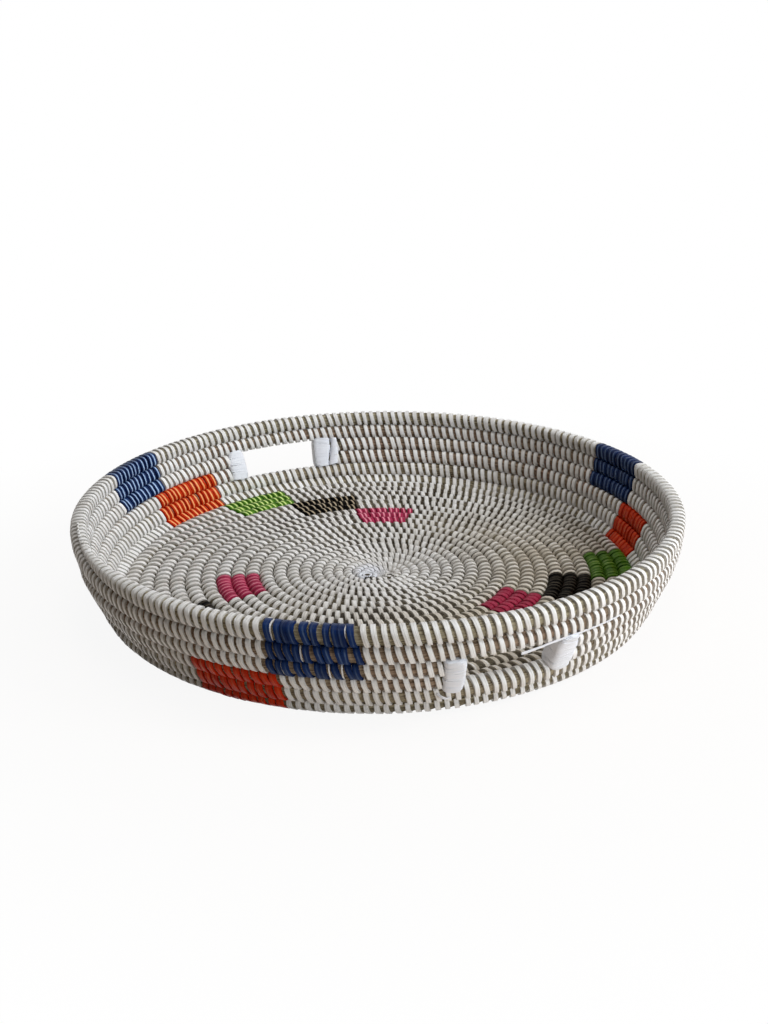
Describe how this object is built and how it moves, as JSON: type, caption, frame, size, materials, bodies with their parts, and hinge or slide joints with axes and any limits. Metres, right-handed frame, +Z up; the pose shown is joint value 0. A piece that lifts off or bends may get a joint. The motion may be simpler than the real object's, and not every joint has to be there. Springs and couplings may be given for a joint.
{
  "type": "coiled serving tray",
  "caption": "Round coiled grass serving tray with a flat floor, a low leaning wall, two hand slots and stepped colour blocks sewn in strip.",
  "frame": {"origin": "on the surface that the tray stands on, under the middle of the rim", "axes": "+Z up out of the tray; X runs through the two hand slots, with the near slot on +X"},
  "size_m": [0.4853, 0.4853, 0.076],
  "materials": {
    "grass_coil": "dry grass bundle sewn over with narrow white plastic strip, satin",
    "white_strip": "white plastic strip wound close, satin",
    "blue_strip": "deep blue plastic strip, satin",
    "orange_strip": "orange plastic strip, satin",
    "green_strip": "leaf green plastic strip, satin",
    "black_strip": "brown black plastic strip, satin",
    "pink_strip": "magenta plastic strip, satin"
  },
  "bodies": {
    "root": {"centre_knot": "grass_coil", "floor_coil": "grass_coil", "wall_foot_coil": "grass_coil", "side_coil_left": "grass_coil", "side_coil_right": "grass_coil", "rim_coil": "grass_coil", "near_slot_binding_left": "white_strip", "near_slot_binding_right": "white_strip", "far_slot_binding_left": "white_strip", "far_slot_binding_right": "white_strip", "blue_block_1": "blue_strip", "blue_block_2": "blue_strip", "blue_block_3": "blue_strip", "orange_block_1": "orange_strip", "orange_block_2": "orange_strip", "orange_block_3": "orange_strip", "green_block_1": "green_strip", "green_block_2": "green_strip", "green_block_3": "green_strip", "black_block_1": "black_strip", "black_block_2": "black_strip", "black_block_3": "black_strip", "pink_block_1": "pink_strip", "pink_block_2": "pink_strip", "pink_block_3": "pink_strip"}
  },
  "joints": []
}
